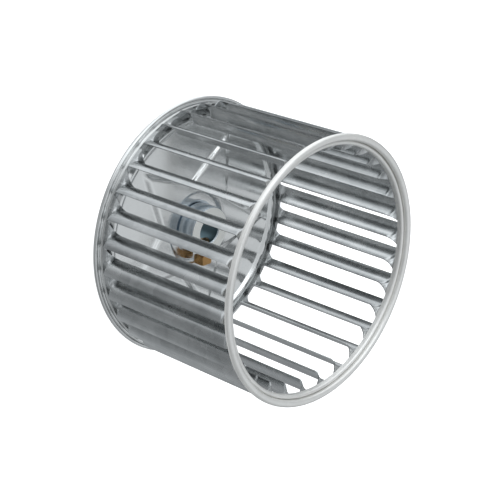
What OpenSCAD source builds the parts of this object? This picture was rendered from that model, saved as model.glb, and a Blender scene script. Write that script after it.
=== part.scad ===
// Forward-curved blower wheel, single inlet: 133.35 mm (5-1/4 in) across and
// 88.9 mm (3-1/2 in) wide, for a 12.7 mm (1/2 in) shaft.
// It stands on its rear rim with the axis on +Z and the open inlet at the top.

/* [Wheel] */
// Outside diameter over both rims
wheel_d = 133.35; // [80:0.05:300]
// Width from the rear of the rim to the face of the inlet ring
wheel_w = 88.9; // [40:0.1:200]
// Number of blades
blade_n = 30; // [12:1:48]
// Azimuth of the first blade's outer edge
blade_turn = 3.35; // [0:0.05:30]

/* [Blade strip] */
// Sheet thickness of the strip
strip_t = 0.5; // [0.3:0.05:1.2]
// How far the strip's mid-surface lies inside the outside radius at its two margins
strip_inset = 4.675; // [3.5:0.005:12]
// How far a blade's inner edge lies inside the margins
blade_in = 5; // [1:0.1:12]
// How far a blade's outer edge lies outside the margins
blade_out = 3.2; // [1:0.1:6]
// How far the inner edge trails the outer edge, in degrees
blade_lag = 5; // [0:0.05:12]
// Depth of the blade's curve from its chord
blade_sag = 1.8; // [0:0.05:6]
// Height of the lower end of the slits
slit_low = 4.8; // [2:0.1:20]
// How far the upper end of the slits lies below the ring's face
slit_under = 4.9; // [3.5:0.1:20]
// How far the strip's upper edge lies below the ring's face
strip_under = 2.9; // [2:0.1:8]
// Length over which a slat turns at its inner edge
turn_in = 4.6; // [1:0.1:15]
// Length over which a slat turns at its outer edge
turn_out = 1.2; // [0.6:0.1:15]
// Facets across one blade
across_n = 6; // [3:1:10]
// Rows of facets in one turn
turn_n = 4; // [2:1:8]

/* [Back plate] */
// Sheet thickness of the plate
plate_t = 0.9; // [0.5:0.05:2]
// Height of the plate's upper face between its embosses
web_z = 2.9; // [2:0.05:10]
// Height of the upper face of the recess round the hub
recess_z = 1.9; // [1:0.05:8]
// Radius of the recess round the hub
recess_r = 17; // [10:0.1:40]
// How far inside the strip the web turns up into the bead
bead_start_in = 7; // [4:0.1:20]
// How far inside the strip the bead's crest lies
bead_in = 4.9; // [3:0.1:15]
// Height of the bead's crest
bead_z = 4.3; // [2:0.05:12]
// How far inside the strip the bead meets the channel floor
channel_in = 1.7; // [1:0.1:6]
// Height of the folded rim
rim_fold_h = 2.2; // [2.2:0.05:6]
// Height of the rim's lip on the strip
rim_lip_z = 3.4; // [2.6:0.1:18]
// Depth of the groove in the fold's upper face
rim_dip = 0.25; // [0:0.05:0.3]

/* [Star emboss] */
// Number of arms
star_n = 5; // [3:1:8]
// Azimuth of the first arm
star_turn = 60.7; // [0:0.1:120]
// Height of the star's upper face
star_z = 4.3; // [2:0.05:12]
// How far inside the strip the sharp tip lies, on the middle line of the flank
star_tip_in = 13.1; // [9:0.1:60]
// Radius of the sharp corner between two arms
star_corner_r = 24; // [12:0.1:80]
// Run of the flank to each side of its middle line
star_flank = 1.1; // [0.2:0.05:4]
// Rounding of the tips
tip_round = 2; // [1.3:0.1:6]
// Rounding of the corners between the arms
corner_round = 5; // [2:0.1:10]

/* [Front ring] */
// Sheet thickness of the ring
ring_t = 0.8; // [0.4:0.05:2]
// How far the ring's inner leg reaches below its face
ring_leg = 4.7; // [3:0.1:12]
// How far the ring's outer skirt reaches below its face
ring_skirt = 2.6; // [2:0.1:12]

/* [Hub] */
// Hub diameter
hub_d = 25.4; // [15:0.1:60]
// Shaft bore
bore_d = 12.7; // [6:0.05:40]
// Height of the hub's end face
hub_top = 13; // [8:0.1:80]
// Diameter of the shoulder that sits on the plate
shoulder_d = 27.4; // [16:0.1:70]
// Diameter of the spigot in the plate's hole
spigot_d = 19; // [14:0.1:60]
// Diameter of the staked head under the plate
staked_d = 22; // [15:0.1:64]
// Chamfer at the hub's edges
hub_chamfer = 0.6; // [0.1:0.05:2]

/* [Set screw] */
// Azimuth of the screw
screw_turn = 195; // [0:1:360]
// Height of the screw's axis
screw_z = 8.4; // [5:0.1:60]
// Screw diameter
screw_d = 6.35; // [3:0.05:12]
// Width of the square head across its flats
head_w = 6.2; // [3:0.1:16]
// How far the head's end lies from the wheel's axis
screw_out = 18.4; // [14:0.1:50]
// How far the screw's tip lies from the wheel's axis
screw_in = 7; // [3:0.1:30]

/* [Fits] */
// Free play between the strip and the sheet that grips it
seat_gap = 0.02; // [0:0.01:0.3]
// Free play between the hub's spigot and the plate
hub_gap = 0.02; // [0:0.01:0.3]
// Free play round the screw
screw_gap = 0.05; // [0:0.01:0.3]

/* [View] */
// Piece to show

/* [Hidden] */
$fn = 128;
sheet_colour = "#9aa1a4";
plate_colour = "#aab0b3";
ring_colour = "#d4d3cc";
zinc_colour = "#9dabb8";
brass_colour = "#b98a45";

wheel_r = wheel_d / 2;
pitch = 360 / blade_n;
strip_r = wheel_r - strip_inset;
blade_in_r = strip_r - blade_in;
blade_out_r = strip_r + blade_out;
slit_high = wheel_w - slit_under;
strip_top = wheel_w - strip_under;
bead_start_r = strip_r - bead_start_in;
bead_r = strip_r - bead_in;
channel_r = strip_r - channel_in;
star_tip_r = strip_r - star_tip_in;
ring_leg_z = wheel_w - ring_leg;
ring_skirt_z = wheel_w - ring_skirt;
// The strip stands on the floor of the plate's channel
strip_low = plate_t;

// A blade's section, with x radial and y along the turn at its outer edge
blade_a = [blade_in_r * cos(blade_lag), -blade_in_r * sin(blade_lag)];
blade_b = [blade_out_r, 0];
chord = norm(blade_b - blade_a);
along = (blade_b - blade_a) / chord;
outward = [along[1], -along[0]];
half_arc = 2 * atan(2 * blade_sag / chord);
blade_mid = (blade_a + blade_b) / 2;
blade_top = blade_mid + blade_sag * outward;
slat_lag = atan2(blade_top[1], blade_top[0]);

// Points of an arc in the plane
function arc_pts(c, r, a0, a1, n) =
    [for (i = [0:n]) c + r * [cos(a0 + (a1 - a0) * i / n), sin(a0 + (a1 - a0) * i / n)]];

// A path moved sideways by d, with mitred corners
function unit(w) = w / norm(w);
function left_of(w) = [-w[1], w[0]];
function edge_dir(path, i) = unit(path[i + 1] - path[i]);
function mitre(path, i) =
    i == 0 ? left_of(edge_dir(path, 0))
    : i == len(path) - 1 ? left_of(edge_dir(path, i - 1))
    : let (m = unit(left_of(edge_dir(path, i - 1)) + left_of(edge_dir(path, i))))
        m / (m * left_of(edge_dir(path, i)));
function beside(path, d) = [for (i = [0:len(path) - 1]) path[i] + d * mitre(path, i)];
function backwards(path) = [for (i = [len(path) - 1:-1:0]) path[i]];

// Sheet of thickness t along a path
module sheet(path, t) {
    polygon(concat(beside(path, t / 2), backwards(beside(path, -t / 2))));
}

// Blade strip: rows of points on the mid-surface, with a thickness to each side
rows_n = 2 * turn_n + 4;

// How far a row has turned from the margin's arc (0) to the blade's arc (1)
function turned(row) =
    row <= 1 || row >= rows_n - 2 ? 0
    : sin(90 * min(row - 1, rows_n - 2 - row, turn_n) / turn_n);

function turn_length(s) = turn_out + (turn_in - turn_out) * (1 - s) / 2;

function row_z(row, s) =
    row == 0 ? strip_low
    : row == rows_n - 1 ? strip_top
    : row <= turn_n + 1
        ? slit_low + turn_length(s) * (1 - cos(90 * (row - 1) / turn_n))
        : slit_high - turn_length(s) * (1 - cos(90 * (rows_n - 2 - row) / turn_n));

function margin_pt(s) =
    let (a = slat_lag + s * pitch / 2) strip_r * [cos(a), sin(a)];

function blade_pt(s) =
    let (q = s * half_arc)
        blade_mid
        + chord / 2 * sin(q) / sin(half_arc) * along
        + blade_sag * (cos(q) - cos(half_arc)) / (1 - cos(half_arc)) * outward;

function mid_pt(row, s) =
    let (b = turned(row), q = (1 - b) * margin_pt(s) + b * blade_pt(s))
        [q[0], q[1], row_z(row, s)];

// Normal of the mid-surface: radial in the margins, by differences in a slat
function mid_normal(row, s) =
    row <= 1 || row >= rows_n - 2
        ? let (q = margin_pt(s)) [q[0], q[1], 0] / strip_r
        : let (
            h = 1 / across_n,
            ds = mid_pt(row, min(s + h, 1)) - mid_pt(row, max(s - h, -1)),
            dz = mid_pt(row + 1, s) - mid_pt(row - 1, s)
        ) unit(cross(ds, dz));

function turn_about(p, a) =
    [p[0] * cos(a) - p[1] * sin(a), p[0] * sin(a) + p[1] * cos(a), p[2]];

function across_s(i) = 2 * i / across_n - 1;

// Points of one slat: outer face then inner face, row by row
slat_pts = [
    for (face = [1, -1], row = [0:rows_n - 1], i = [0:across_n])
        mid_pt(row, across_s(i)) + face * strip_t / 2 * mid_normal(row, across_s(i))
];
slat_size = len(slat_pts);
face_size = slat_size / 2;
strip_pts = [
    for (k = [0:blade_n - 1], p = slat_pts) turn_about(p, blade_turn + k * pitch)
];

// A point of the margins on the line between two slats belongs to the next slat
function in_margin(row) = row <= 1 || row >= rows_n - 2;
function pt(k, face, row, i) =
    i == across_n && in_margin(row)
        ? ((k + 1) % blade_n) * slat_size + face * face_size + row * (across_n + 1)
        : k * slat_size + face * face_size + row * (across_n + 1) + i;

function quad(a, b, c, d) = [[a, b, c], [a, c, d]];

function slat_faces(k) = [
    for (row = [0:rows_n - 2], i = [0:across_n - 1], f = quad(
        pt(k, 0, row, i), pt(k, 0, row + 1, i), pt(k, 0, row + 1, i + 1), pt(k, 0, row, i + 1)
    )) f,
    for (row = [0:rows_n - 2], i = [0:across_n - 1], f = quad(
        pt(k, 1, row, i), pt(k, 1, row, i + 1), pt(k, 1, row + 1, i + 1), pt(k, 1, row + 1, i)
    )) f,
    // The slit's two edges
    for (row = [1:rows_n - 3], f = quad(
        pt(k, 0, row, 0), pt(k, 1, row, 0), pt(k, 1, row + 1, 0), pt(k, 0, row + 1, 0)
    )) f,
    for (row = [1:rows_n - 3], f = quad(
        pt(k, 0, row, across_n), pt(k, 0, row + 1, across_n),
        pt(k, 1, row + 1, across_n), pt(k, 1, row, across_n)
    )) f,
    // The strip's own two edges
    for (i = [0:across_n - 1], f = quad(
        pt(k, 0, 0, i), pt(k, 0, 0, i + 1), pt(k, 1, 0, i + 1), pt(k, 1, 0, i)
    )) f,
    for (i = [0:across_n - 1], f = quad(
        pt(k, 0, rows_n - 1, i), pt(k, 1, rows_n - 1, i),
        pt(k, 1, rows_n - 1, i + 1), pt(k, 0, rows_n - 1, i + 1)
    )) f
];

module blade_strip() {
    color(sheet_colour)
        polyhedron(strip_pts, [for (k = [0:blade_n - 1], f = slat_faces(k)) f]);
}

// Back plate
plate_mid = plate_t / 2;
web_mid = web_z - plate_mid;
recess_mid = recess_z - plate_mid;
ramp_end = recess_r + web_mid - recess_mid;
rim_bend = rim_fold_h / 2 - plate_mid;
fold_c = [wheel_r - rim_fold_h / 2, rim_fold_h / 2];
fold_mid = rim_fold_h - plate_mid;
dip_out = 1.1;
dip_in = 2.3;
bead_bend = 1.1;
lip_r = strip_r + strip_t / 2 + seat_gap + plate_mid;
lip_bend = 0.7;
bead_mid = bead_z - plate_mid;

plate_path = concat(
    [
        [spigot_d / 2 + hub_gap, recess_mid],
        [recess_r, recess_mid],
        [ramp_end, web_mid],
        [bead_start_r, web_mid]
    ],
    arc_pts([bead_r, bead_mid - bead_bend], bead_bend, 125, 40, 8),
    [[channel_r, plate_mid]],
    arc_pts(fold_c, rim_bend, -90, 90, 10),
    [
        [fold_c[0] - dip_out / 2, fold_mid - rim_dip],
        [fold_c[0] - dip_out, fold_mid - rim_dip],
        [fold_c[0] - dip_in / 2 - dip_out / 2, fold_mid]
    ],
    arc_pts([lip_r + lip_bend, fold_mid + lip_bend], lip_bend, 270, 180, 4),
    [[lip_r, rim_lip_z]]
);

// Star outline moved outward by d
tip_half = atan2(
    star_corner_r * sin(180 / star_n),
    star_tip_r - star_corner_r * cos(180 / star_n)
);
corner_half = 180 / star_n + tip_half;
round_n = 6;

function star_outline(d) =
    let (
        tip_c = star_tip_r + d / sin(tip_half) - (tip_round + d) / sin(tip_half),
        corner_c = star_corner_r + d / sin(corner_half)
            + (corner_round - d) / sin(corner_half)
    )
    [
        for (k = [0:star_n - 1])
            let (a = star_turn + k * 360 / star_n, b = a + 180 / star_n)
                each concat(
                    arc_pts(
                        tip_c * [cos(a), sin(a)], tip_round + d,
                        a - (90 - tip_half), a + (90 - tip_half), round_n
                    ),
                    arc_pts(
                        corner_c * [cos(b), sin(b)], corner_round - d,
                        b + 180 + (90 - corner_half), b + 180 - (90 - corner_half), round_n
                    )
                )
    ];

// Solid star with soft edges: each level is [offset, height]
module star_solid(levels) {
    n = len(star_outline(0));
    last = len(levels) - 1;
    polyhedron(
        concat(
            [for (v = levels, p = star_outline(v[0])) [p[0], p[1], v[1]]],
            [[0, 0, levels[0][1]], [0, 0, levels[last][1]]]
        ),
        concat(
            [for (j = [0:last - 1], i = [0:n - 1], f = quad(
                j * n + i, (j + 1) * n + i, (j + 1) * n + (i + 1) % n, j * n + (i + 1) % n
            )) f],
            [for (i = [0:n - 1]) [i, (i + 1) % n, (last + 1) * n]],
            [for (i = [0:n - 1]) [last * n + (i + 1) % n, last * n + i, (last + 1) * n + 1]]
        )
    );
}

soft_run = 0.45;
soft_rise = 0.25;
under_in = 0.35;
below = 2;

// Levels of the star's upper skin, from the foot to the top
function skin(z0, z1, d, root) = [
    [star_flank + soft_run - d, root],
    [star_flank + soft_run - d, z0],
    [star_flank - soft_run - d, z0 + soft_rise],
    [soft_run - star_flank - d, z1 - soft_rise],
    [-star_flank - soft_run - d, z1]
];

// Half-width of the sheet along a slope of 45 degrees
ramp_half = plate_mid / sin(45);
function ramp_r(z, side) = recess_r + z - recess_mid + side * ramp_half;

module recess_void() {
    z_end = star_z + below;
    rotate_extrude()
        polygon([
            [0, recess_z],
            [ramp_r(recess_z, -1), recess_z],
            [ramp_r(z_end, -1), z_end],
            [0, z_end]
        ]);
}

module recess_core() {
    z_end = star_z + below;
    z_low = recess_z - plate_t;
    rotate_extrude()
        polygon([
            [0, -2 * below],
            [ramp_r(z_low, 1), -2 * below],
            [ramp_r(z_low, 1), z_low],
            [ramp_r(z_end, 1), z_end],
            [0, z_end]
        ]);
}

module back_plate() {
    color(plate_colour)
        difference() {
            union() {
                rotate_extrude() sheet(plate_path, plate_t);
                difference() {
                    star_solid(skin(web_z, star_z, 0, web_mid));
                    recess_void();
                }
            }
            difference() {
                star_solid(skin(web_z - plate_t, star_z - plate_t, under_in, -below));
                recess_core();
            }
        }
}

// Front ring
ring_mid = ring_t / 2;
leg_r = strip_r - strip_t / 2 - seat_gap - ring_mid;
fold_r = strip_r - leg_r;
groove_r = 0.45;
groove_z = strip_top - 0.1;
band_in_r = strip_r + fold_r + 2 * groove_r;
band_in_bend = 0.9;
band_out_bend = 1;
band_z = wheel_w - ring_mid - band_out_bend;
ring_mid_r = wheel_r - ring_mid;
skirt_bend = 0.5;
skirt_turn = 1.675;
skirt_r = ring_mid_r - skirt_turn;

ring_path = concat(
    [[leg_r, ring_leg_z]],
    arc_pts([strip_r, strip_top], fold_r, 180, 0, 10),
    arc_pts([strip_r + fold_r + groove_r, groove_z], groove_r, 180, 360, 8),
    arc_pts([band_in_r + band_in_bend, band_z], band_in_bend, 180, 95, 6),
    arc_pts([ring_mid_r - band_out_bend, band_z], band_out_bend, 85, 0, 6),
    arc_pts([ring_mid_r - skirt_bend, ring_skirt_z + ring_mid + skirt_bend], skirt_bend, 0, -90, 4),
    [[skirt_r, ring_skirt_z + ring_mid]]
);

module front_ring() {
    color(ring_colour)
        rotate_extrude() sheet(ring_path, ring_t);
}

// Hub
hub_r = hub_d / 2;
bore_r = bore_d / 2;
shoulder_h = 1;
neck_h = 0.7;
neck_cut = 0.8;
staked_z = recess_z - plate_t;
staked_h = 0.9;
staked_round = 0.4;
hole_tip = 5.5;

module hub_body() {
    rotate_extrude()
        polygon([
            [bore_r + hub_chamfer, staked_z - staked_h],
            [staked_d / 2 - staked_round, staked_z - staked_h],
            [staked_d / 2, staked_z - staked_h + staked_round],
            [staked_d / 2, staked_z],
            [spigot_d / 2, staked_z],
            [spigot_d / 2, recess_z],
            [shoulder_d / 2, recess_z],
            [shoulder_d / 2, recess_z + shoulder_h],
            [hub_r - neck_cut, recess_z + shoulder_h],
            [hub_r - neck_cut, recess_z + shoulder_h + neck_h],
            [hub_r, recess_z + shoulder_h + neck_h],
            [hub_r, hub_top - hub_chamfer],
            [hub_r - hub_chamfer, hub_top],
            [bore_r + hub_chamfer, hub_top],
            [bore_r, hub_top - hub_chamfer],
            [bore_r, staked_z - staked_h + hub_chamfer]
        ]);
}

// Stands a shape made along +Z in the screw's place
module at_screw() {
    rotate([0, 0, screw_turn])
        translate([0, 0, screw_z])
            rotate([0, 90, 0])
                children();
}

module hub() {
    color(zinc_colour)
        difference() {
            hub_body();
            at_screw()
                translate([0, 0, hole_tip])
                    cylinder(h = hub_d, d = screw_d + 2 * screw_gap);
        }
}

// Set screw
head_h = 4.6;
head_edge = 0.5;
tip_cut = 0.6;

module set_screw() {
    color(brass_colour)
        at_screw() {
            translate([0, 0, screw_in])
                cylinder(h = tip_cut, d1 = screw_d - 2 * tip_cut, d2 = screw_d);
            translate([0, 0, screw_in + tip_cut])
                cylinder(h = screw_out - head_h - screw_in - tip_cut, d = screw_d);
            intersection() {
                translate([-head_w / 2, -head_w / 2, screw_out - head_h])
                    cube([head_w, head_w, head_h]);
                translate([0, 0, screw_out - head_h])
                    cylinder(h = head_h, r1 = head_w * 0.7 + head_h - head_edge, r2 = head_w * 0.7 - head_edge);
            }
        }
}

blade_strip();
back_plate();
front_ring();
hub();
set_screw();
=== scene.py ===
import math

import bmesh
import bpy
import numpy as np
from mathutils import Matrix, Vector


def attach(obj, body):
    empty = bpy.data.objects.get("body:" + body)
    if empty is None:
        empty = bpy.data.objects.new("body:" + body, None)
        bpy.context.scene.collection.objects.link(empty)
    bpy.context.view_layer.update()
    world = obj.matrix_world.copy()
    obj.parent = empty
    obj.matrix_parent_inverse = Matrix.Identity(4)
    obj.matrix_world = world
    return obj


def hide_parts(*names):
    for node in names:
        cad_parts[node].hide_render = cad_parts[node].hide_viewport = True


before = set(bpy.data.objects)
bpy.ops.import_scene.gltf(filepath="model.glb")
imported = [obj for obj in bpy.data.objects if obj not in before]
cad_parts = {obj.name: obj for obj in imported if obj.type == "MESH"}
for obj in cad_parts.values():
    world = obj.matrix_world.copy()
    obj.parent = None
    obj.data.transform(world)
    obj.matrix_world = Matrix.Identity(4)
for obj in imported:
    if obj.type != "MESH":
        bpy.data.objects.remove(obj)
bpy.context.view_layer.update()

MM = 0.001

# Sizes in millimetres, the same as in the part's source. Radii are measured in from
# the wheel's or the strip's, and heights at the inlet down from the ring's face.

# Wheel
WHEEL_R = 66.675
WHEEL_W = 88.9
SEAT_GAP = 0.02

# Blade strip
BLADE_N = 30
BLADE_TURN = 3.35
STRIP_T = 0.5
STRIP_R = WHEEL_R - 4.675
STRIP_TOP = WHEEL_W - 2.9
BLADE_IN_R = STRIP_R - 5
BLADE_OUT_R = STRIP_R + 3.2
BLADE_LAG = 5.0
BLADE_SAG = 1.8
SLIT_LOW = 4.8
SLIT_HIGH = WHEEL_W - 4.9
TURN_IN = 4.6
TURN_OUT = 1.2

# Back plate
PLATE_T = 0.9
STRIP_LOW = PLATE_T
HUB_HOLE_R = 9.52
WEB_Z = 2.9
RECESS_Z = 1.9
RECESS_R = 17.0
BEAD_START_R = STRIP_R - 7
BEAD_R = STRIP_R - 4.9
BEAD_Z = 4.3
BEAD_BEND = 1.1
CHANNEL_R = STRIP_R - 1.7
RIM_FOLD_H = 2.2
RIM_DIP = 0.25
RIM_LIP_Z = 3.4
RIM_LIP_BEND = 0.7

# Star emboss
STAR_N = 5
STAR_TURN = 60.7
STAR_Z = 4.3
STAR_TIP_R = STRIP_R - 13.1
STAR_CORNER_R = 24.0
STAR_FLANK = 1.1
STAR_SOFT = 0.45

# Front ring
RING_T = 0.8
RING_LEG_Z = WHEEL_W - 4.7
RING_SKIRT_Z = WHEEL_W - 2.6
GROOVE_R = 0.45
GROOVE_DROP = 0.1
BAND_IN_BEND = 0.9
BAND_OUT_BEND = 1
SKIRT_BEND = 0.5
SKIRT_TURN = 1.675

# Hub
BORE_R = 6.35
HUB_TOP = 13.0
# How far the hub's zones of painted shade in the bore and painted light on the end face reach past
# the bore's wall and the end face
BORE_SKIN = 0.05
FACE_SKIN = 0.1

# Density of the meshes: steps across a slat and in each of its turns, rows between
# its turns and in each margin, and steps round the plate and the ring
SLAT_ACROSS = 16
SLAT_TURN = 12
SLAT_SPAN = 6
MARGIN_ROWS = 3
PLATE_STEPS = 340
RING_STEPS = 288
# Edges over these angles in degrees stay sharp
STRIP_SHARP = 45
SHEET_SHARP = 50
CAD_SHARP = 35


# Geometry helpers

def add_mesh(name, points_mm, faces, smooth=True):
    mesh = bpy.data.meshes.new(name)
    mesh.from_pydata([tuple(p) for p in np.asarray(points_mm) * MM], [], faces)
    mesh.validate()
    mesh.update()
    if smooth:
        mesh.shade_smooth()
    obj = bpy.data.objects.new(name, mesh)
    bpy.context.scene.collection.objects.link(obj)
    return obj


def sharpen(obj, degrees):
    """Smooth shading, with edges over this angle kept sharp."""
    mesh = obj.data
    mesh.shade_smooth()
    mesh.set_sharp_from_angle(angle=math.radians(degrees))


def smooth_step(x):
    x = np.clip(x, 0, 1)
    return x * x * (3 - 2 * x)


def arc(cx, cz, r, a0, a1, n):
    a = np.radians(np.linspace(a0, a1, n + 1))
    return np.stack([cx + r * np.cos(a), cz + r * np.sin(a)], -1)


def beside(path, d):
    """The path moved sideways by d, with mitred corners."""
    step = np.diff(path, axis=0)
    step /= np.linalg.norm(step, axis=1)[:, None]
    left = np.stack([-step[:, 1], step[:, 0]], -1)
    out = np.empty_like(path)
    out[0] = path[0] + d * left[0]
    out[-1] = path[-1] + d * left[-1]
    for i in range(1, len(path) - 1):
        m = left[i - 1] + left[i]
        m /= np.linalg.norm(m)
        out[i] = path[i] + d * m / m.dot(left[i])
    return out


def step_angles(steps):
    return np.linspace(0, 2 * math.pi, steps, endpoint=False)


def revolved(path, angles):
    """Points of a path of radii and heights at each of the angles about Z."""
    return np.stack([
        path[None, :, 0] * np.cos(angles)[:, None],
        path[None, :, 0] * np.sin(angles)[:, None],
        np.repeat(path[None, :, 1], len(angles), 0),
    ], -1)


def add_sheet(name, loop):
    """A closed sheet: loop[k] goes once round its section at step k about Z."""
    steps, n = loop.shape[:2]
    faces = []
    for k in range(steps):
        m = (k + 1) % steps
        for i in range(n):
            j = (i + 1) % n
            faces.append((k * n + i, k * n + j, m * n + j, m * n + i))
    obj = add_mesh(name, loop.reshape(-1, 3), faces)
    sharpen(obj, SHEET_SHARP)
    return obj


# Blade strip

def blade_arc(s):
    """Points of the blade's section for s from -1 to 1, and the azimuth of its middle."""
    lag = math.radians(BLADE_LAG)
    inner = np.array([BLADE_IN_R * math.cos(lag), -BLADE_IN_R * math.sin(lag)])
    outer = np.array([BLADE_OUT_R, 0.0])
    chord = np.linalg.norm(outer - inner)
    along = (outer - inner) / chord
    outward = np.array([along[1], -along[0]])
    half = 2 * math.atan(2 * BLADE_SAG / chord)
    mid = (inner + outer) / 2
    top = mid + BLADE_SAG * outward
    q = s * half
    blade = (
        mid
        + chord / 2 * (np.sin(q) / math.sin(half))[:, None] * along
        + BLADE_SAG * ((np.cos(q) - math.cos(half)) / (1 - math.cos(half)))[:, None] * outward
    )
    return blade, math.atan2(top[1], top[0])


def slat_surface():
    """Rows of points on one slat's mid-surface, from its lower margin to its upper one."""
    s = np.linspace(-1, 1, SLAT_ACROSS + 1)
    blade, azimuth = blade_arc(s)
    margin = STRIP_R * np.stack([
        np.cos(azimuth + s * math.pi / BLADE_N),
        np.sin(azimuth + s * math.pi / BLADE_N),
    ], -1)
    length = TURN_OUT + (TURN_IN - TURN_OUT) * (1 - s) / 2

    def turning(k):
        """The row at step k of a turn, and how far along the shaft it is from the slit's end."""
        w = math.radians(90 * k / SLAT_TURN)
        return (1 - math.sin(w)) * margin + math.sin(w) * blade, length * (1 - math.cos(w))

    rows = [(margin, np.full_like(s, z)) for z in np.linspace(STRIP_LOW, SLIT_LOW, MARGIN_ROWS)]
    for k in range(1, SLAT_TURN + 1):
        row, rise = turning(k)
        rows.append((row, SLIT_LOW + rise))
    low, high = SLIT_LOW + length, SLIT_HIGH - length
    for f in np.linspace(0, 1, SLAT_SPAN + 2)[1:-1]:
        rows.append((blade, low + (high - low) * f))
    for k in range(SLAT_TURN, 0, -1):
        row, rise = turning(k)
        rows.append((row, SLIT_HIGH - rise))
    rows += [(margin, np.full_like(s, z)) for z in np.linspace(SLIT_HIGH, STRIP_TOP, MARGIN_ROWS)]
    return np.array([np.column_stack([p, z]) for p, z in rows])


def in_margin(row, n_rows):
    return row < MARGIN_ROWS or row >= n_rows - MARGIN_ROWS


def slat_normals(grid):
    """Normals of the mid-surface: by differences in a slat, and radial in the margins."""
    normal = np.cross(np.gradient(grid, axis=1), np.gradient(grid, axis=0))
    normal /= np.linalg.norm(normal, axis=2)[..., None]
    for row in range(len(grid)):
        if in_margin(row, len(grid)):
            radial = grid[row] * (1, 1, 0)
            normal[row] = radial / np.linalg.norm(radial, axis=1)[:, None]
    return normal


def slat_faces(k, n_rows, n_cols):
    """Quads of slat k: its two skins, its edges along the slits and the strip's own edges."""
    top, last = n_rows - 1, n_cols - 1

    def pt(skin, row, col):
        slat = k
        # In the margins, a slat's last column is the next slat's first
        if col == last and in_margin(row, n_rows):
            slat, col = (k + 1) % BLADE_N, 0
        return ((slat * 2 + skin) * n_rows + row) * n_cols + col

    for row in range(top):
        up = row + 1
        for col in range(last):
            yield pt(0, row, col), pt(0, row, col + 1), pt(0, up, col + 1), pt(0, up, col)
            yield pt(1, row, col), pt(1, up, col), pt(1, up, col + 1), pt(1, row, col + 1)
        if MARGIN_ROWS - 1 <= row < n_rows - MARGIN_ROWS:
            yield pt(0, row, 0), pt(0, up, 0), pt(1, up, 0), pt(1, row, 0)
            yield pt(0, row, last), pt(1, row, last), pt(1, up, last), pt(0, up, last)
    for col in range(last):
        yield pt(0, 0, col), pt(1, 0, col), pt(1, 0, col + 1), pt(0, 0, col + 1)
        yield pt(0, top, col), pt(0, top, col + 1), pt(1, top, col + 1), pt(1, top, col)


def make_strip():
    grid = slat_surface()
    normal = slat_normals(grid)
    n_rows, n_cols = grid.shape[:2]
    skins = np.stack([grid + STRIP_T / 2 * normal, grid - STRIP_T / 2 * normal])
    x, y, z = skins.reshape(-1, 3).T
    points, faces = [], []
    for k in range(BLADE_N):
        w = math.radians(BLADE_TURN + k * 360 / BLADE_N)
        c, s = math.cos(w), math.sin(w)
        points.append(np.stack([x * c - y * s, x * s + y * c, z], -1))
        faces.extend(slat_faces(k, n_rows, n_cols))
    obj = add_mesh("blades", np.concatenate(points), faces)
    # The shared margins leave some points unused
    bm = bmesh.new()
    bm.from_mesh(obj.data)
    loose = [v for v in bm.verts if not v.link_faces]
    bmesh.ops.delete(bm, geom=loose, context="VERTS")
    bmesh.ops.recalc_face_normals(bm, faces=bm.faces)
    bm.to_mesh(obj.data)
    bm.free()
    sharpen(obj, STRIP_SHARP)
    return obj


# Back plate

# Where the flat web ends, inside the start of the bead
WEB_END = 1.5
# Steps from a point of the rim's profile: the foot of the bead, the edge of the
# channel's floor, and the groove in the fold's upper face
BEAD_FOOT = ((-WEB_END, 0), (-0.6, 0), (0, 0.06), (0.35, 0.25))
CHANNEL_EDGE = ((-0.5, 0.45), (0, 0.12), (0.6, 0))
RIM_GROOVE = ((-0.35, -0.08), (-0.55, -RIM_DIP), (-1.1, -RIM_DIP), (-1.35, -0.05), (-1.7, 0))
# Rings of points, as the first radius, the last one and a count: in the recess, up
# its wall and across the star
RECESS_RINGS = (HUB_HOLE_R, RECESS_R - 1.5, 5)
WALL_RINGS = (RECESS_R - 1.2, RECESS_R + 4, 14)
STAR_RINGS = (RECESS_R + 4.4, BEAD_START_R - WEB_END - 0.4, 72)


def star_distance(x, y):
    """Signed distance to the middle line of the star's flank; below 0 is inside."""
    sector = math.pi / STAR_N
    r = np.hypot(x, y)
    a = np.arctan2(y, x) - math.radians(STAR_TURN)
    a = np.abs((a + sector) % (2 * sector) - sector)
    px, py = r * np.cos(a), r * np.sin(a)
    corner = STAR_CORNER_R * np.array([math.cos(sector), math.sin(sector)])
    flank = corner - (STAR_TIP_R, 0)
    flank /= np.linalg.norm(flank)
    # The flank's normal (flank[1], -flank[0]) points away from the star's middle
    return (px - STAR_TIP_R) * flank[1] - py * flank[0]


def rim_profile():
    """Radii and heights of the plate's mid-surface from the web's end to the rim's lip."""
    half = PLATE_T / 2
    lip_r = STRIP_R + STRIP_T / 2 + SEAT_GAP + half
    fold_r, fold_z = WHEEL_R - RIM_FOLD_H / 2, RIM_FOLD_H - half
    return np.concatenate([
        np.array([BEAD_START_R, WEB_Z - half]) + BEAD_FOOT,
        arc(BEAD_R, BEAD_Z - half - BEAD_BEND, BEAD_BEND, 125, 40, 12),
        np.array([CHANNEL_R, half]) + CHANNEL_EDGE,
        arc(fold_r, RIM_FOLD_H / 2, RIM_FOLD_H / 2 - half, -90, 90, 14),
        np.array([fold_r, fold_z]) + RIM_GROOVE,
        arc(lip_r + RIM_LIP_BEND, fold_z + RIM_LIP_BEND, RIM_LIP_BEND, 270, 180, 6),
        np.array([[lip_r, RIM_LIP_Z]]),
    ])


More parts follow.
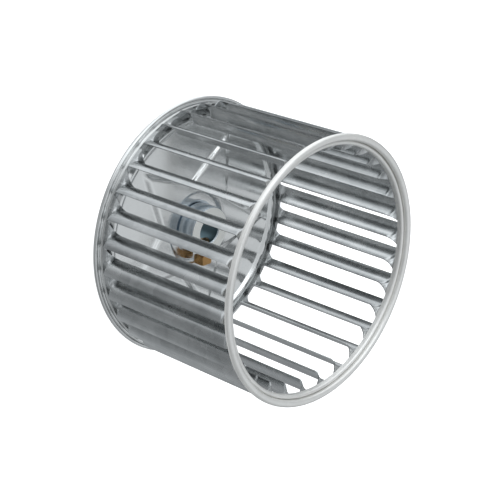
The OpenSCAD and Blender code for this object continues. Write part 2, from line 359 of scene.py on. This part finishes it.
def web_skins(angles):
    """Upper and lower skins of the recess, the web and the star, along their own normal."""
    half = PLATE_T / 2
    radii = np.concatenate([np.linspace(*rings) for rings in (RECESS_RINGS, WALL_RINGS, STAR_RINGS)])
    rr, aa = np.meshgrid(radii, angles)
    x, y = rr * np.cos(aa), rr * np.sin(aa)
    web, recess = WEB_Z - half, RECESS_Z - half
    star = smooth_step(0.5 - star_distance(x, y) / (2 * (STAR_FLANK + STAR_SOFT)))
    wall = smooth_step((rr - RECESS_R) / (STAR_Z - RECESS_Z))
    z = recess + (web + (STAR_Z - WEB_Z) * star - recess) * wall
    dr = np.gradient(z, radii, axis=1)
    da = (np.roll(z, -1, 0) - np.roll(z, 1, 0)) / (2 * (angles[1] - angles[0])) / rr
    nx = -dr * np.cos(aa) + da * np.sin(aa)
    ny = -dr * np.sin(aa) - da * np.cos(aa)
    length = np.sqrt(nx ** 2 + ny ** 2 + 1)
    normal = np.stack([nx, ny, np.ones_like(nx)], -1) / length[..., None]
    normal[:, 0] = (0, 0, 1)
    normal[:, -1] = (0, 0, 1)
    mid = np.stack([x, y, z], -1)
    return mid + half * normal, mid - half * normal


def make_plate():
    angles = step_angles(PLATE_STEPS)
    up, down = web_skins(angles)
    rim = rim_profile()
    rim_up = revolved(beside(rim, PLATE_T / 2), angles)
    rim_down = revolved(beside(rim, -PLATE_T / 2), angles)
    return add_sheet("plate", np.concatenate([up, rim_up, rim_down[:, ::-1], down[:, ::-1]], 1))


# Front ring

def make_ring():
    half = RING_T / 2
    leg_r = STRIP_R - STRIP_T / 2 - SEAT_GAP - half
    fold = STRIP_R - leg_r
    band_in = STRIP_R + fold + 2 * GROOVE_R
    band_z = WHEEL_W - half - BAND_OUT_BEND
    ring_r = WHEEL_R - half
    skirt_z = RING_SKIRT_Z + half
    path = np.concatenate([
        np.array([[leg_r, RING_LEG_Z]]),
        arc(STRIP_R, STRIP_TOP, fold, 180, 0, 12),
        arc(STRIP_R + fold + GROOVE_R, STRIP_TOP - GROOVE_DROP, GROOVE_R, 180, 360, 10),
        arc(band_in + BAND_IN_BEND, band_z, BAND_IN_BEND, 180, 95, 8),
        arc(ring_r - BAND_OUT_BEND, band_z, BAND_OUT_BEND, 85, 0, 8),
        arc(ring_r - SKIRT_BEND, skirt_z + SKIRT_BEND, SKIRT_BEND, 0, -90, 6),
        np.array([[ring_r - SKIRT_TURN, skirt_z]]),
    ])
    section = np.concatenate([beside(path, half), beside(path, -half)[::-1]])
    return add_sheet("inlet_ring", revolved(section, step_angles(RING_STEPS)))


strip = make_strip()
plate = make_plate()
ring = make_ring()
for obj, node, slot in (
    (strip, "blade_strip", "strip_sheet"),
    (plate, "back_plate", "plate_sheet"),
    (ring, "front_ring", "ring_sheet"),
):
    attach(obj, "root")
    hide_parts(node)


# Materials

# Scales of the noises, per metre: clouds in the zinc, rolling lines and small dents
CLOUD_SCALE = 45
LINE_SCALE = 900
DENT_SCALE = 130
# Scale of the rolling lines along the shaft, as a share of their scale across it
LINE_STRETCH = 0.03
# The part of a noise's range that its values fill
NOISE_LOW = 0.25
NOISE_HIGH = 0.75
# Metres of height for a bump of 1
BUMP_HEIGHT = 0.0001


class Nodes:
    """Short names for building a node tree."""

    def __init__(self, tree):
        self.tree = tree

    def add(self, kind, **values):
        node = self.tree.nodes.new(kind)
        for key, value in values.items():
            setattr(node, key, value)
        return node

    def link(self, a, b):
        self.tree.links.new(a, b)

    def mapping(self, scale=(1, 1, 1)):
        coords = self.add("ShaderNodeTexCoord")
        m = self.add("ShaderNodeMapping")
        m.inputs["Scale"].default_value = scale
        self.link(coords.outputs["Object"], m.inputs["Vector"])
        return m.outputs["Vector"]

    def noise(self, vector, scale, detail, rough=0.5):
        n = self.add("ShaderNodeTexNoise")
        n.inputs["Scale"].default_value = scale
        n.inputs["Detail"].default_value = detail
        n.inputs["Roughness"].default_value = rough
        self.link(vector, n.inputs["Vector"])
        return n.outputs["Fac"]

    def cells(self, vector, scale):
        n = self.add("ShaderNodeTexVoronoi")
        n.inputs["Scale"].default_value = scale
        self.link(vector, n.inputs["Vector"])
        sep = self.add("ShaderNodeSeparateColor")
        self.link(n.outputs["Color"], sep.inputs["Color"])
        return sep.outputs["Red"]

    def ranged(self, value, low, high, to_low, to_high, kind="LINEAR"):
        n = self.add("ShaderNodeMapRange", interpolation_type=kind)
        n.inputs["From Min"].default_value = low
        n.inputs["From Max"].default_value = high
        n.inputs["To Min"].default_value = to_low
        n.inputs["To Max"].default_value = to_high
        self.link(value, n.inputs["Value"])
        return n.outputs["Result"]

    def math(self, kind, a, b):
        n = self.add("ShaderNodeMath", operation=kind)
        for socket, value in zip(n.inputs, (a, b)):
            if isinstance(value, (int, float)):
                socket.default_value = value
            else:
                self.link(value, socket)
        return n.outputs["Value"]

    def weighted(self, *terms):
        """Sum of (value, weight) pairs."""
        total = None
        for value, weight in terms:
            term = self.math("MULTIPLY", value, weight)
            total = term if total is None else self.math("ADD", total, term)
        return total

    def mix(self, fac, a, b):
        n = self.add("ShaderNodeMix", data_type="RGBA")
        self.link(fac, n.inputs["Factor"])
        for name, value in (("A", a), ("B", b)):
            socket = [s for s in n.inputs if s.name == name and s.type == "RGBA"][0]
            if isinstance(value, tuple):
                socket.default_value = (*value, 1)
            else:
                self.link(value, socket)
        return [s for s in n.outputs if s.type == "RGBA"][0]


def metal(name, dark, light, rough, streak, spangle, bump, lengthwise=False, bare=1.0):
    """Sheet metal: cloudy colour, crystal spangle, fine rolling lines and a soft uneven gloss."""
    mat = bpy.data.materials.new(name)
    mat.use_nodes = True
    tree = mat.node_tree
    tree.nodes.clear()
    n = Nodes(tree)
    out = n.add("ShaderNodeOutputMaterial")
    bsdf = n.add("ShaderNodeBsdfPrincipled")
    n.link(bsdf.outputs["BSDF"], out.inputs["Surface"])
    bsdf.inputs["Metallic"].default_value = bare
    even = n.mapping()
    lines = n.mapping((1, 1, LINE_STRETCH)) if lengthwise else even
    cloud = n.noise(even, CLOUD_SCALE, 4)
    fine = n.noise(lines, LINE_SCALE, 3, 0.6)
    crystal = n.cells(even, spangle)
    dents = n.noise(even, DENT_SCALE, 2)
    tone = n.weighted((cloud, 0.6), (crystal, 0.1), (fine, 0.3))
    colour = n.mix(n.ranged(tone, NOISE_LOW, NOISE_HIGH, 0, 1), dark, light)
    n.link(colour, bsdf.inputs["Base Color"])
    gloss = n.weighted((cloud, 0.8), (crystal, 0.2))
    n.link(n.ranged(gloss, NOISE_LOW, NOISE_HIGH, *rough), bsdf.inputs["Roughness"])
    b = n.add("ShaderNodeBump")
    b.inputs["Strength"].default_value = 1.0
    b.inputs["Distance"].default_value = BUMP_HEIGHT
    n.link(n.weighted((fine, streak), (dents, bump)), b.inputs["Height"])
    n.link(b.outputs["Normal"], bsdf.inputs["Normal"])
    return mat


def zone(mat, mask, colour, rough):
    """Gives a material another colour and roughness where mask(nodes, radius, height) is 1, as for
    the hub's painted shade in the bore and painted light on the end face.
    """
    n = Nodes(mat.node_tree)
    bsdf = next(node for node in mat.node_tree.nodes if node.type == "BSDF_PRINCIPLED")
    parts = n.add("ShaderNodeSeparateXYZ")
    n.link(n.mapping(), parts.inputs["Vector"])
    x, y, z = parts.outputs
    radius = n.math("SQRT", n.math("ADD", n.math("MULTIPLY", x, x), n.math("MULTIPLY", y, y)), 0)
    fac = mask(n, radius, z)
    base = bsdf.inputs["Base Color"].links[0].from_socket
    n.link(n.mix(fac, base, colour), bsdf.inputs["Base Color"])
    old = bsdf.inputs["Roughness"].links[0].from_socket
    kept = n.math("MULTIPLY", old, n.math("SUBTRACT", 1, fac))
    n.link(n.math("ADD", kept, n.math("MULTIPLY", fac, rough)), bsdf.inputs["Roughness"])


# Where the bore's wall gets its painted shade
def painted_bore_shade(n, radius, height):
    return n.math("LESS_THAN", radius, (BORE_R + BORE_SKIN) * MM)


# Where the hub's end face gets its painted light
def painted_end_face_light(n, radius, height):
    at_top = n.math("GREATER_THAN", height, (HUB_TOP - FACE_SKIN) * MM)
    past_bore = n.math("GREATER_THAN", radius, (BORE_R + BORE_SKIN) * MM)
    return n.math("MULTIPLY", at_top, past_bore)


def assign(obj, mat):
    obj.data.materials.clear()
    obj.data.materials.append(mat)


assign(strip, metal(
    "strip_zinc", dark=(0.38, 0.395, 0.40), light=(0.68, 0.69, 0.69), rough=(0.20, 0.29),
    streak=0.10, spangle=260, bump=0.18, lengthwise=True,
))
assign(plate, metal(
    "plate_zinc", dark=(0.70, 0.705, 0.70), light=(0.82, 0.825, 0.82), rough=(0.12, 0.19),
    streak=0.02, spangle=200, bump=0.15,
))
assign(ring, metal(
    "ring_zinc", dark=(0.74, 0.735, 0.715), light=(0.88, 0.875, 0.855), rough=(0.32, 0.42),
    streak=0.05, spangle=260, bump=0.15, bare=0.8,
))
hub_mat = metal(
    "hub_zinc", dark=(0.52, 0.58, 0.63), light=(0.64, 0.70, 0.75), rough=(0.16, 0.24),
    streak=0.05, spangle=500, bump=0.1,
)
# Painted shade: the bore's wall is painted dark teal in place of the shade inside the hole
zone(hub_mat, painted_bore_shade, colour=(0.10, 0.15, 0.17), rough=0.3)
# Painted light: the end face is painted near white and matt in place of the light that falls on it
zone(hub_mat, painted_end_face_light, colour=(0.90, 0.90, 0.87), rough=0.5)
screw_mat = metal(
    "screw_brass", dark=(0.34, 0.19, 0.07), light=(0.66, 0.39, 0.17), rough=(0.24, 0.36),
    streak=0.05, spangle=500, bump=0.1,
)
for node, mat in (("hub", hub_mat), ("set_screw", screw_mat)):
    assign(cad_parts[node], mat)
    sharpen(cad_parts[node], CAD_SHARP)


# Floor, light and camera

# The camera's axes and place in metres, and its focal length in pixels of the
# photograph, as a fit to the photograph's two rims gave them
RIGHT = Vector((0.20321, -0.64754, 0.73444))
UP = Vector((0.96379, 0.0, -0.26667))
BACK = Vector((0.17268, 0.76204, 0.62409))
CAMERA_PLACE = Vector((0.118291, 0.530586, 0.475514))
FOCAL_PX = 1422.98
PHOTO_PX = 500
SENSOR_MM = 36
# The way that was up when the photograph was taken: the wheel lay on its side
SKY = Vector((0.954, 0.299, 0.0)).normalized()
# Half the floor's width, in millimetres, and the point that the lamps face, in metres
FLOOR_HALF = 4000
LIT_POINT = Vector((0, 0, 0.045))


def make_floor():
    corners = [(-1, -1), (1, -1), (1, 1), (-1, 1)]
    points = [(FLOOR_HALF * x, FLOOR_HALF * y, 0) for x, y in corners]
    floor = add_mesh("floor", points, [(0, 1, 2, 3)], smooth=False)
    mat = bpy.data.materials.new("floor_white")
    mat.use_nodes = True
    bsdf = mat.node_tree.nodes["Principled BSDF"]
    bsdf.inputs["Base Color"].default_value = (0.9, 0.9, 0.9, 1)
    bsdf.inputs["Roughness"].default_value = 0.9
    bsdf.inputs["Emission Color"].default_value = (1, 1, 1, 1)
    bsdf.inputs["Emission Strength"].default_value = 0.75
    floor.data.materials.append(mat)
    floor.visible_glossy = False


# Soft patches of light round the object: a direction, the cosines of the angles from
# it where the patch starts and is full, and its strength
MAIN_PATCH = (SKY, 0.45, 0.85, 0.85)
OTHER_PATCHES = (
    (RIGHT * 0.5 - UP, 0.4, 0.9, 0.36),
    (BACK, 0.2, 0.9, 0.3),
    (-BACK - RIGHT * 0.5, 0.3, 0.8, 0.3),
    (-RIGHT, 0.3, 0.8, 0.22),
    (RIGHT + UP * 0.4 + BACK * 0.2, 0.1, 0.8, 0.42),
    # The narrow patch that the star's flank mirrors
    (RIGHT * 0.76 + UP * 0.12 + BACK * 0.64, 0.955, 0.995, 1.2),
    (UP - BACK * 0.75, 0.75, 0.97, 0.7),
)
AMBIENT = 0.08


def make_world():
    world = bpy.data.worlds.new("studio")
    bpy.context.scene.world = world
    world.use_nodes = True
    tree = world.node_tree
    tree.nodes.clear()
    n = Nodes(tree)
    out = n.add("ShaderNodeOutputWorld")
    bg = n.add("ShaderNodeBackground")
    n.link(bg.outputs["Background"], out.inputs["Surface"])
    coords = n.add("ShaderNodeTexCoord")

    def patch(axis, start, full, strength):
        dot = n.add("ShaderNodeVectorMath", operation="DOT_PRODUCT")
        n.link(coords.outputs["Generated"], dot.inputs[0])
        dot.inputs[1].default_value = axis.normalized()
        return n.ranged(dot.outputs["Value"], start, full, 0, strength, kind="SMOOTHSTEP")

    total = patch(*MAIN_PATCH)
    for values in OTHER_PATCHES:
        total = n.math("ADD", total, patch(*values))
    bg.inputs["Color"].default_value = (0.93, 0.97, 1.0, 1)
    n.link(n.math("ADD", total, AMBIENT), bg.inputs["Strength"])


def area(name, direction, distance, size, power, colour=(1, 1, 1)):
    """A square lamp that lights the object and isn't mirrored in it."""
    light = bpy.data.lights.new(name, "AREA")
    light.shape = "SQUARE"
    light.size = size
    light.energy = power
    light.color = colour
    obj = bpy.data.objects.new(name, light)
    bpy.context.scene.collection.objects.link(obj)
    d = direction.normalized()
    obj.location = LIT_POINT + d * distance
    obj.rotation_euler = d.to_track_quat("Z", "Y").to_euler()
    obj.visible_glossy = False


def make_camera():
    data = bpy.data.cameras.new("camera")
    cam = bpy.data.objects.new("camera", data)
    bpy.context.scene.collection.objects.link(cam)
    data.sensor_fit = "HORIZONTAL"
    data.sensor_width = SENSOR_MM
    data.lens = SENSOR_MM * FOCAL_PX / PHOTO_PX
    data.clip_start = 0.01
    data.clip_end = 20
    place = Matrix((RIGHT, UP, BACK)).transposed().to_4x4()
    place.translation = CAMERA_PLACE
    cam.matrix_world = place
    bpy.context.scene.camera = cam


make_floor()
make_world()
area("key", SKY * 0.8 + BACK * 0.35 + Vector((0, 0, 0.5)), distance=1.2, size=0.7, power=5)
area("fill", Vector((0.1, 0.2, 1)), distance=1.4, size=0.8, power=3, colour=(1, 0.98, 0.95))
make_camera()
bpy.context.scene.view_settings.view_transform = "Standard"
